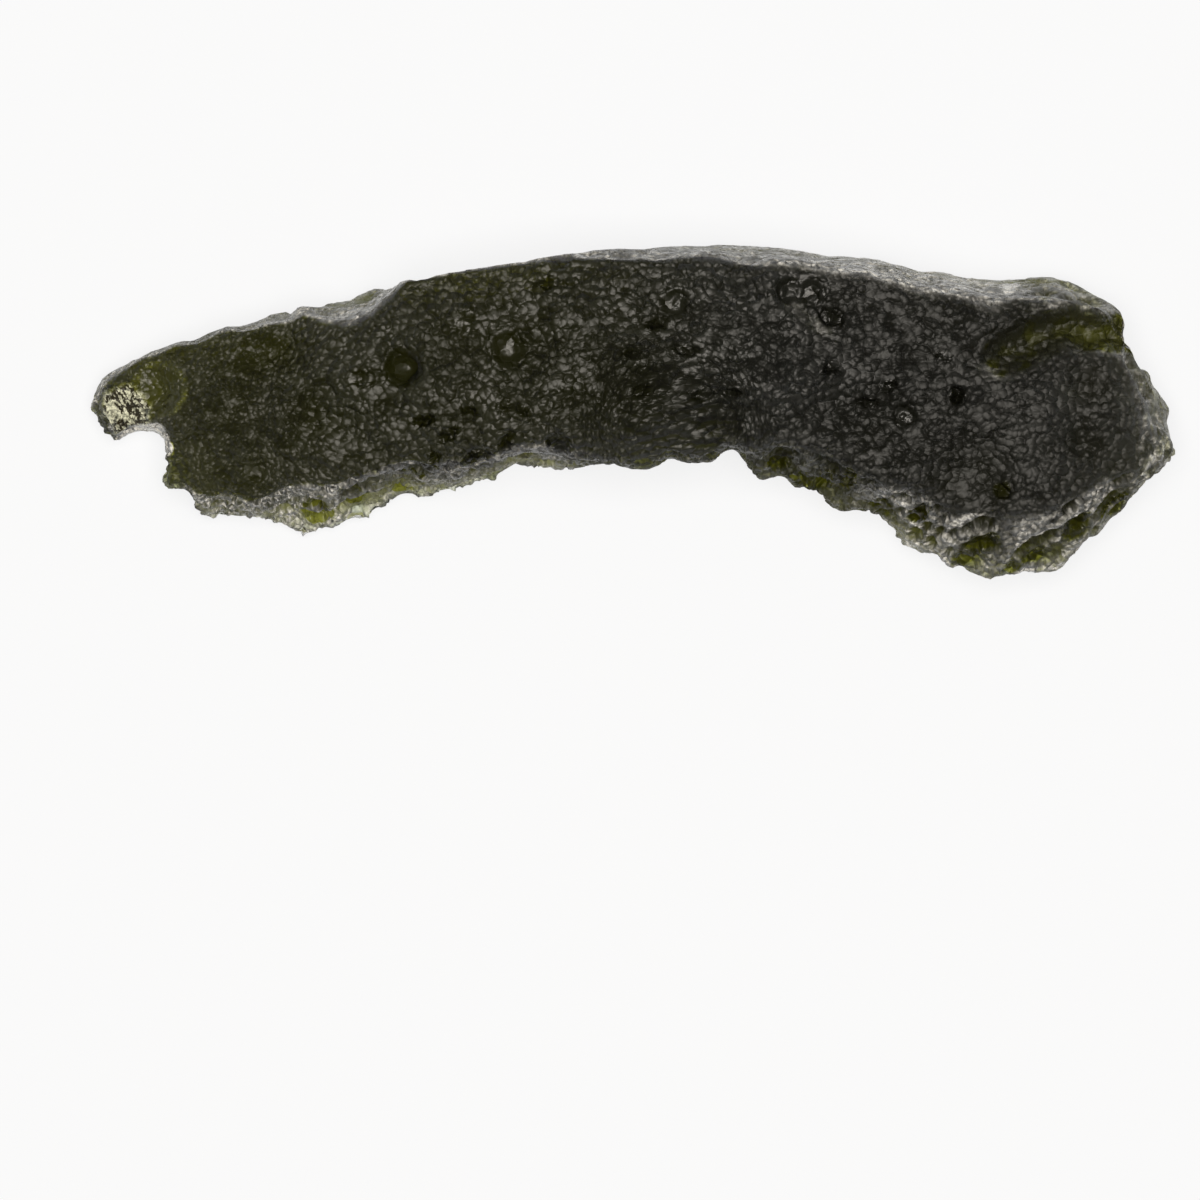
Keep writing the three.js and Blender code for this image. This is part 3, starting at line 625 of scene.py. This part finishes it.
def pit_relief(tree, geometry, given):
    """Sink each pit of the list into the skin, with steep sides, a low lip and its standing knob."""
    pits = add(tree, "object", given["Pits"])
    place = add(tree, "place")
    flat = flat_place(tree, wander(tree, place, *WANDER["pits"]))
    nearest = add(tree, "nearest", pits, flat)
    centre = add(tree, "sample", pits, place, nearest, data_type="FLOAT_VECTOR")
    width, depth, knob, stretch, turn = (
        add(tree, "sample", pits, add(tree, "stored", name), nearest) for name in PIT_VALUES
    )

    # How far each point is from its pit's middle, as a share of the pit's half width.
    away = add(tree, "VECTOR_SUBTRACT", flat, centre)
    spun = add(tree, "apart", add(tree, "turn", away, add(tree, "MULTIPLY", turn, -1.0)))
    reach = add(tree, "LENGTH", add(tree, "joined", add(tree, "DIVIDE", spun[X], stretch), spun[Y]))
    share = add(tree, "DIVIDE", reach, add(tree, "MULTIPLY_ADD", width, 0.9, 0.06))
    hole = add(tree, "MULTIPLY", add(tree, "ramp", share, 0.0, 1.05, -1.0, 0.0), depth)
    middle = add(tree, "MULTIPLY", add(tree, "ramp", share, 0.0, 0.5, 1.0, 0.0), knob)
    lip = add(tree, "ramp", share, 1.1, 1.6, 0.12, 0.0)
    lip = add(tree, "MULTIPLY", add(tree, "ramp", share, 0.8, 1.1), lip)
    amount = chain(tree, "ADD", hole, middle, add(tree, "MULTIPLY", lip, depth))
    upward = add(tree, "ramp", facing(tree)[Z], *SLOPES["open to the sky"])
    inside = add(tree, "MULTIPLY", add(tree, "ramp", share, 0.7, 1.1, 1.0, 0.0), upward)

    # Pits are free of frost, have a painted green glow on the front and in the scar, and are calm unless they
    # are small.
    fringe = chain(
        tree,
        "MULTIPLY",
        past(tree, "green side", 0.7, 0.0),
        past(tree, "arch end", 1.0, 0.3),
        add(tree, "ramp", facing(tree)[Z], *SLOPES["seen from above"]),
    )
    scar = add(tree, "MULTIPLY", nearness(tree, place, SCAR, SCAR_RADIUS), 0.3)
    green = add(tree, "MULTIPLY", inside, add(tree, "MAXIMUM", fringe, scar))
    small = add(tree, "ramp", width, 0.3, 0.45, 2.6, 0.5)
    geometry = keep(
        tree,
        geometry,
        frost=add(tree, "MULTIPLY", add(tree, "stored", "frost"), add(tree, "SUBTRACT", 1.0, inside)),
        green=add(tree, "MAXIMUM", add(tree, "stored", "green"), green),
        steep=add(tree, "MULTIPLY", add(tree, "stored", "steep"), add(tree, "blend", inside, 1.0, small)),
        etching=add(tree, "blend", inside, add(tree, "stored", "etching"), -0.8),
    )
    return push(tree, geometry, add(tree, "MULTIPLY", amount, upward))


def fine_relief(tree, geometry, given):
    """Fine grain all over, creases in the front's walls, and ragged teeth along the thin rims."""
    place = add(tree, "place")
    front = past(tree, "front", 1.0, 0.0)
    teeth = add(tree, "cells", place, 1 / SIZES["teeth"])
    frost = add(tree, "stored", "frost")
    crumbs = add(tree, "MULTIPLY", frost, add(tree, "ramp", teeth, 0.15, 0.55, 0.4, 1.9))
    geometry = keep(tree, geometry, frost=add(tree, "blend", front, frost, crumbs))
    fine = add(tree, "MULTIPLY", grain(tree, place, SIZES["grain"], 1.0), given["Grain"])
    smooth = add(tree, "MAXIMUM", nearness(tree, place, BITE, BITE_SMOOTH), add(tree, "stored", "back"))
    ragged = chain(
        tree,
        "MULTIPLY",
        add(tree, "ramp", teeth, 0.1, 0.6, 0.5, -0.5),
        given["Teeth"],
        add(tree, "blend", smooth, 1.0, 0.25),
    )
    edge = add(tree, "MULTIPLY", add(tree, "ADD", ragged, given["Rim Gain"]), add(tree, "stored", "rim"))
    creases = add(tree, "ABSOLUTE", grain(tree, place, SIZES["creases"], 1.0))
    creases = add(tree, "MULTIPLY", add(tree, "ramp", creases, 0.0, 0.12, -1.0, 0.3), given["Creases"])
    creases = add(tree, "MULTIPLY", creases, add(tree, "MULTIPLY", add(tree, "stored", "wall"), front))
    creases = add(tree, "MULTIPLY", creases, past(tree, "bevel frost", 1.0, 0.3))
    return push(tree, geometry, chain(tree, "ADD", fine, creases, edge))


def kept_in_box(tree, geometry, given):
    """Hold the skin inside the solid's box, so that the stone keeps its size and its rest face."""
    low = add(tree, "VECTOR_MAXIMUM", add(tree, "place"), given["Box Low"])
    return add(tree, "move to", geometry, add(tree, "VECTOR_MINIMUM", low, given["Box High"]))


def skin_tree():
    """Build the node tree that works the stone's skin."""
    tree = bpy.data.node_groups.new("Moldavite Skin", "GeometryNodeTree")
    given = skin_inputs(tree)
    geometry = side_masks(tree, given["Geometry"])
    geometry = skin_map(tree, geometry, given)
    geometry = broad_relief(tree, geometry, given)
    geometry = groove_relief(tree, geometry)
    geometry = pit_relief(tree, geometry, given)
    geometry = fine_relief(tree, geometry, given)
    geometry = kept_in_box(tree, geometry, given)
    geometry = add(tree, "realize", add(tree, "smooth", geometry))
    add(tree, "result", add(tree, "material", geometry, given["Glass"]))
    return tree


def set_inputs(modifier, values):
    """Set a Geometry Nodes modifier's inputs by their names in its tree."""
    for item in modifier.node_group.interface.items_tree:
        if item.item_type == "SOCKET" and item.in_out == "INPUT" and item.name in values:
            modifier[item.identifier] = values[item.name]


# ---------------------------------------------------------------- materials
def etched_glass(settings):
    """Natural glass, etched by ground water: glossy knobs over fine grit, deeply tinted inside."""
    material = bpy.data.materials.new("etched_moldavite_glass")
    material.use_nodes = True
    tree = material.node_tree
    tree.nodes.clear()
    place = add(tree, "attribute", attribute_name="knobs", out="Vector")
    frost, steep, etching, broken, green = (
        add(tree, "attribute", attribute_name=name)
        for name in ("frost", "steep", "etching", "broken", "green")
    )

    # The skin: touching rounded knobs, with fine grit between and over them. All scales count to
    # one knob's spacing. Drawn-out blotches give some knobs more relief than others.
    colour = add(tree, "noise", place, SPECK_SCALE, 1.0, out="Color")
    speck = colour.node.outputs["Fac"]
    uneven = add(tree, "VECTOR_ADD", place, add(tree, "VECTOR_MULTIPLY", colour, (0.4, 0.4, 0.0)))
    cell = add(tree, "cells", uneven, 1.0)
    grit = add(tree, "noise", place, GRIT_SCALE, 1.0)
    height = chain(tree, "MULTIPLY", cell, cell, -1.0)
    height = add(tree, "ADD", height, add(tree, "MULTIPLY", grit, settings.grit_share))
    drawn = add(tree, "VECTOR_MULTIPLY", place, BLOTCH_STRETCH)
    blotch = add(tree, "noise", drawn, BLOTCH_SCALE, 1.0)
    relief = add(tree, "MULTIPLY", steep, add(tree, "ramp", blotch, *BLOTCH_EDGE, 0.66, 1.9))
    height = add(tree, "MULTIPLY", height, relief)
    bump = add(tree, "bump", height, settings.knob_height * MM, 0.8)

    # The break: pale plates of crazed glass, parted by dark cracks, with painted shade in its hole.
    shards = turned(tree, add(tree, "VECTOR_ADD", place, colour), SHARD_TURN, SHARD_LENGTHS)
    edge = add(tree, "cells", shards, 1.0, feature="DISTANCE_TO_EDGE")
    gape = add(tree, "ramp", add(tree, "noise", place, 0.35, 2.0), 0.36, 0.62, -0.06, 0.12)
    plates = add(tree, "ramp", edge, gape, add(tree, "ADD", gape, 0.08))
    plates = add(tree, "MULTIPLY", plates, add(tree, "ramp", speck, 0.35, 0.6, 0.4, 1.0))
    hole = add(tree, "MAXIMUM", add(tree, "SUBTRACT", broken, 1.0), 0.0)
    plates = add(tree, "SUBTRACT", plates, hole, use_clamp=True)
    broken = add(tree, "MINIMUM", broken, 1.0)
    clear = add(tree, "SUBTRACT", 1.0, add(tree, "MULTIPLY", broken, 0.85))

    # What the skin scatters back: frost and the back strip's painted reflection, uneven in specks and
    # blotches, and a painted green glow that stands in for light from inside.
    bloom = chain(
        tree,
        "MULTIPLY",
        frost,
        add(tree, "ramp", speck, 0.3, 0.7, 0.4, 1.6),
        add(tree, "ramp", blotch, *BLOTCH_EDGE, 0.4, 1.5),
    )
    scattered = add(tree, "MULTIPLY_ADD", bloom, settings.frost_share, settings.dust_share)
    scattered = add(tree, "MULTIPLY_ADD", green, settings.painted_glow_share, scattered)
    veil = add(tree, "SUBTRACT", 1.0, scattered, use_clamp=True)
    frosted = add(tree, "ramp", frost, 0.1, 0.8)
    # Where the painted green glow lies and the frost is thin, the tint turns to the glow's colour.
    painted_glow_mix = add(tree, "ramp", frost, 8.0, 20.0, 1.0, 0.0)
    painted_glow_mix = add(tree, "MULTIPLY", add(tree, "ramp", green, 0.0, 0.15), painted_glow_mix)
    tint = add(tree, "tint", frosted, linear(settings.clear_tint), linear(settings.frost_tint))
    tint = add(tree, "tint", painted_glow_mix, tint, linear(settings.painted_glow_tint))
    crazed = add(tree, "tint", plates, linear(settings.crack_tint), linear(settings.crazed_tint))
    tint = add(tree, "tint", broken, tint, crazed)

    # The finish: a soft lacquer-like gloss, duller where it is etched, over glass that is clear
    # where it is thin and nearly black through the middle.
    glossiest = 2 * settings.gloss_low - settings.gloss_high
    rough = add(tree, "ramp", etching, -1.0, 1.5, glossiest, settings.gloss_high)
    rough = add(tree, "blend", add(tree, "MINIMUM", frost, 1.0), rough, 0.4)
    rough = add(tree, "blend", broken, rough, 0.45)
    glass = add(tree, "glass", tint, rough, GLASS_IOR, add(tree, "MULTIPLY", clear, veil), bump)
    deep = add(tree, "absorption", linear(settings.depth_tint), settings.depth_density)
    add(tree, "finish", glass, deep)
    return material


def pale_card(colours):
    """Matt white card, lit a little from below as on a light table."""
    material = bpy.data.materials.new("pale_card")
    material.use_nodes = True
    shader = material.node_tree.nodes["Principled BSDF"]
    shader.inputs["Base Color"].default_value = linear(colours.floor_colour)
    shader.inputs["Roughness"].default_value = 0.9
    shader.inputs["Specular IOR Level"].default_value = 0.0
    shader.inputs["Emission Color"].default_value = (1, 1, 1, 1)
    shader.inputs["Emission Strength"].default_value = colours.floor_glow
    return material


# ---------------------------------------------------------------- the stone
def merged_copy(name):
    """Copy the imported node's mesh, join its loose triangles, and scale it to millimetres."""
    mesh = bpy.data.objects[name].data.copy()
    mesh.transform(Matrix.Scale(1 / MM, 4))
    work = bmesh.new()
    work.from_mesh(mesh)
    bmesh.ops.remove_doubles(work, verts=work.verts, dist=MERGE_DISTANCE)
    work.to_mesh(mesh)
    work.free()
    stone = bpy.data.objects.new("stone_blank", mesh)
    bpy.context.scene.collection.objects.link(stone)
    return stone


def pit_points():
    """A cloud of points, one for each pit, that carries the pit's values."""
    mesh = bpy.data.meshes.new("pits")
    mesh.from_pydata([(pit[0], pit[1], 0) for pit in PITS], [], [])
    for column, name in enumerate(PIT_VALUES, start=2):
        kept = mesh.attributes.new(name, "FLOAT", "POINT").data
        for value, pit in zip(kept, PITS):
            value.value = math.radians(pit[column]) if name == "turn" else pit[column]
    cloud = bpy.data.objects.new("pits", mesh)
    bpy.context.scene.collection.objects.link(cloud)
    return cloud


def finished(work, name):
    """Turn a worked object into a plain mesh in metres, at the origin, with no modifiers."""
    depsgraph = bpy.context.evaluated_depsgraph_get()
    mesh = bpy.data.meshes.new_from_object(work.evaluated_get(depsgraph))
    mesh.transform(Matrix.Scale(MM, 4))
    mesh.name = name
    piece = bpy.data.objects.new(name, mesh)
    bpy.context.scene.collection.objects.link(piece)
    bpy.data.objects.remove(work)
    return piece


class MoldaviteStoneSettings(bpy.types.PropertyGroup):
    """Sizes of the stone's skin and the tints of its glass"""

    grid: bpy.props.FloatProperty(
        name="Grid", description="Edge of the skin's mesh, in millimetres", default=0.112, min=0.08
    )
    cup_size: bpy.props.FloatProperty(
        name="Cup Size", description="Spacing of the cups in the sides, in millimetres", default=1.25
    )
    cup_depth: bpy.props.FloatProperty(
        name="Cup Depth", description="Depth of the cups in the sides, in millimetres", default=0.32
    )
    swell: bpy.props.FloatProperty(
        name="Swell", description="Height of the broad swellings, in millimetres", default=0.22
    )
    grain: bpy.props.FloatProperty(
        name="Grain", description="Height of the fine grain, in millimetres", default=0.05
    )
    creases: bpy.props.FloatProperty(
        name="Creases", description="Depth of the creases in the front's walls, in millimetres", default=0.12
    )
    teeth: bpy.props.FloatProperty(
        name="Teeth", description="Height of the teeth on the thin rims, in millimetres", default=0.14
    )
    rim_gain: bpy.props.FloatProperty(
        name="Rim Gain", description="Width given back to the thin rims, in millimetres", default=0.05
    )
    knob_size: bpy.props.FloatProperty(
        name="Knob Size", description="Spacing of the glossy knobs, in millimetres", default=0.27
    )
    knob_height: bpy.props.FloatProperty(
        name="Knob Height", description="Height of the glossy knobs, in millimetres", default=0.13
    )
    grit_share: bpy.props.FloatProperty(
        name="Grit", description="Height of the fine grit, as a share of the knobs'", default=0.6
    )
    gloss_low: bpy.props.FloatProperty(
        name="Glossy", description="Roughness of the glossiest skin", default=0.44, subtype="FACTOR"
    )
    gloss_high: bpy.props.FloatProperty(
        name="Etched", description="Roughness of the most etched skin", default=0.54, subtype="FACTOR"
    )
    # This share also paints the back strip's reflection and the glint beside the break.
    frost_share: bpy.props.FloatProperty(
        name="Frost", description="Share of light that weathered ribs scatter", default=0.07, subtype="FACTOR"
    )
    dust_share: bpy.props.FloatProperty(
        name="Dust", description="Share of light that the rest of the skin scatters", default=0.006
    )
    clear_tint: bpy.props.StringProperty(
        name="Clear Tint", description="Tint where light enters the glass, as a hex colour", default="#e2e6d0"
    )
    # This is also the colour of the back strip's painted reflection and glint.
    frost_tint: bpy.props.StringProperty(
        name="Frost Tint", description="Colour of the frosted ribs, as a hex colour", default="#edece6"
    )
    # Painted green glow: a share of diffuse olive colour that stands in for light coming back out of the
    # glass.
    painted_glow_share: bpy.props.FloatProperty(
        name="Green", description="Share of light that comes back out of the groove and pits", default=0.13
    )
    # Colour of the painted green glow.
    painted_glow_tint: bpy.props.StringProperty(
        name="Green Tint", description="Colour of that light, as a hex colour", default="#a2a63a"
    )
    crazed_tint: bpy.props.StringProperty(
        name="Crazed Tint", description="Colour of the plates of the crazed break", default="#f0f1d4"
    )
    crack_tint: bpy.props.StringProperty(
        name="Crack Tint", description="Colour of the cracks between those plates", default="#2c2610"
    )
    depth_tint: bpy.props.StringProperty(
        name="Depth Tint", description="Colour that the depth of the glass lets through", default="#c8c77c"
    )
    depth_density: bpy.props.FloatProperty(
        name="Depth Density", description="How fast the glass darkens with depth, per metre", default=2750.0
    )


class MOLDAVITE_OT_stone(bpy.types.Operator):
    """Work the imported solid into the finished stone"""

    bl_idname = "object.moldavite_stone"
    bl_label = "Build Stone"

    def execute(self, context):
        settings = context.scene.moldavite_stone
        work = merged_copy(NODE)
        rounded = work.modifiers.new("Rounded", "SUBSURF")
        rounded.levels = 1
        rounded.render_levels = 1
        even = work.modifiers.new("Even Grid", "REMESH")
        even.mode = "VOXEL"
        even.voxel_size = settings.grid
        eased = work.modifiers.new("Eased", "SMOOTH")
        eased.factor = 0.5
        eased.iterations = 3
        skin = work.modifiers.new("Skin", "NODES")
        skin.node_group = skin_tree()
        pits = pit_points()
        low, high = (Vector(corner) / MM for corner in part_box(NODE))
        set_inputs(
            skin,
            {
                "Pits": pits,
                "Knob Size": settings.knob_size,
                "Cup Size": settings.cup_size,
                "Cup Depth": settings.cup_depth,
                "Swell": settings.swell,
                "Grain": settings.grain,
                "Creases": settings.creases,
                "Teeth": settings.teeth,
                "Rim Gain": settings.rim_gain,
                "Box Low": low,
                "Box High": high,
                "Glass": etched_glass(settings),
            },
        )
        stone = finished(work, "moldavite_stone")
        bpy.data.objects.remove(pits)
        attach(stone, "root")
        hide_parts(NODE)
        return {"FINISHED"}


# ---------------------------------------------------------------- the stage
class MoldaviteStageSettings(bpy.types.PropertyGroup):
    """Floor, lights and camera"""

    floor_colour: bpy.props.StringProperty(
        name="Floor Colour", description="Colour of the card, as a hex colour", default="#707276"
    )
    floor_glow: bpy.props.FloatProperty(
        name="Floor Glow", description="Light that comes up through the card", default=0.79
    )
    horizon: bpy.props.FloatProperty(
        name="Horizon", description="Brightness of the surroundings level with the stone", default=0.1
    )
    zenith: bpy.props.FloatProperty(
        name="Zenith", description="Brightness of the surroundings overhead", default=0.05
    )
    soft_box: bpy.props.FloatProperty(
        name="Soft Box", description="Brightness of the soft box overhead, beside white card", default=7.9
    )
    soft_box_side: bpy.props.FloatProperty(
        name="Soft Box Side", description="Side of the square soft box", default=0.3, unit="LENGTH"
    )
    soft_box_height: bpy.props.FloatProperty(
        name="Soft Box Height", description="Height of the soft box", default=0.45, unit="LENGTH"
    )
    lens: bpy.props.FloatProperty(name="Lens", description="Camera lens, in millimetres", default=1000.0)
    view_width: bpy.props.FloatProperty(
        name="View Width", description="Width of floor in view", default=0.04305, unit="LENGTH"
    )
    view_centre: bpy.props.FloatVectorProperty(
        name="View Centre",
        description="Middle of the view",
        default=(-0.001175, -0.00663, 0.0),
        unit="LENGTH",
    )


def soft_surroundings(settings):
    """Dim white surroundings, a little brighter at the horizon than overhead."""
    world = bpy.data.worlds.new("soft_surroundings")
    bpy.context.scene.world = world
    world.use_nodes = True
    tree = world.node_tree
    tree.nodes.clear()
    height = add(tree, "ABSOLUTE", add(tree, "apart", add(tree, "direction"))[Z])
    strength = add(tree, "ramp", height, 0.1, 0.95, settings.horizon, settings.zenith)
    add(tree, "sky", add(tree, "background", (1, 1, 1, 1), strength))


def soft_box(settings):
    """One big square soft box straight above."""
    light = bpy.data.lights.new("soft_box", "AREA")
    light.shape = "SQUARE"
    light.size = settings.soft_box_side
    light.color = WARM_WHITE
    light.energy = settings.soft_box * math.pi * settings.soft_box_side**2
    lamp = bpy.data.objects.new("soft_box", light)
    lamp.location = (0, 0, settings.soft_box_height)
    bpy.context.scene.collection.objects.link(lamp)


def overhead_camera(settings):
    """Camera straight above, framed on the stone's stretch of the floor."""
    camera = bpy.data.cameras.new("overhead")
    camera.lens = settings.lens
    camera.sensor_width = SENSOR_WIDTH
    distance = settings.view_width * camera.lens / camera.sensor_width
    camera.clip_start = 0.01
    camera.clip_end = 10.0
    stand = bpy.data.objects.new("overhead", camera)
    stand.location = Vector(settings.view_centre) + Vector((0, 0, distance))
    bpy.context.scene.collection.objects.link(stand)
    bpy.context.scene.camera = stand


class MOLDAVITE_OT_stage(bpy.types.Operator):
    """Lay the pale floor, and set up the soft light and the camera"""

    bl_idname = "scene.moldavite_stage"
    bl_label = "Build Stage"

    def execute(self, context):
        settings = context.scene.moldavite_stage
        mesh = bpy.data.meshes.new("floor")
        sides = ((-1, -1), (1, -1), (1, 1), (-1, 1))
        corners = [(x * FLOOR_REACH, y * FLOOR_REACH, -FLOOR_DROP) for x, y in sides]
        mesh.from_pydata(corners, [], [(0, 1, 2, 3)])
        mesh.materials.append(pale_card(settings))
        floor = bpy.data.objects.new("floor", mesh)
        context.scene.collection.objects.link(floor)
        soft_surroundings(settings)
        soft_box(settings)
        overhead_camera(settings)
        context.scene.view_settings.view_transform = "Standard"
        return {"FINISHED"}


# ---------------------------------------------------------------- add-on
class MOLDAVITE_PT_panel(bpy.types.Panel):
    """Sidebar panel with the stone's and the stage's settings"""

    bl_label = "Moldavite"
    bl_space_type = "VIEW_3D"
    bl_region_type = "UI"
    bl_category = "Moldavite"

    def draw(self, context):
        for title, settings, operator in (
            ("Stone", context.scene.moldavite_stone, MOLDAVITE_OT_stone.bl_idname),
            ("Stage", context.scene.moldavite_stage, MOLDAVITE_OT_stage.bl_idname),
        ):
            box = self.layout.box()
            box.label(text=title)
            for name in settings.bl_rna.properties.keys():
                if name not in ("rna_type", "name"):
                    box.prop(settings, name)
            box.operator(operator)


CLASSES = (
    MoldaviteStoneSettings,
    MoldaviteStageSettings,
    MOLDAVITE_OT_stone,
    MOLDAVITE_OT_stage,
    MOLDAVITE_PT_panel,
)


def register():
    for cls in CLASSES:
        bpy.utils.register_class(cls)
    bpy.types.Scene.moldavite_stone = bpy.props.PointerProperty(type=MoldaviteStoneSettings)
    bpy.types.Scene.moldavite_stage = bpy.props.PointerProperty(type=MoldaviteStageSettings)


def unregister():
    del bpy.types.Scene.moldavite_stage
    del bpy.types.Scene.moldavite_stone
    for cls in reversed(CLASSES):
        bpy.utils.unregister_class(cls)


def main():
    """Build the stage and the stone."""
    register()
    bpy.ops.scene.moldavite_stage()
    bpy.ops.object.moldavite_stone()
    bpy.context.view_layer.update()


if __name__ == "__main__":
    main()
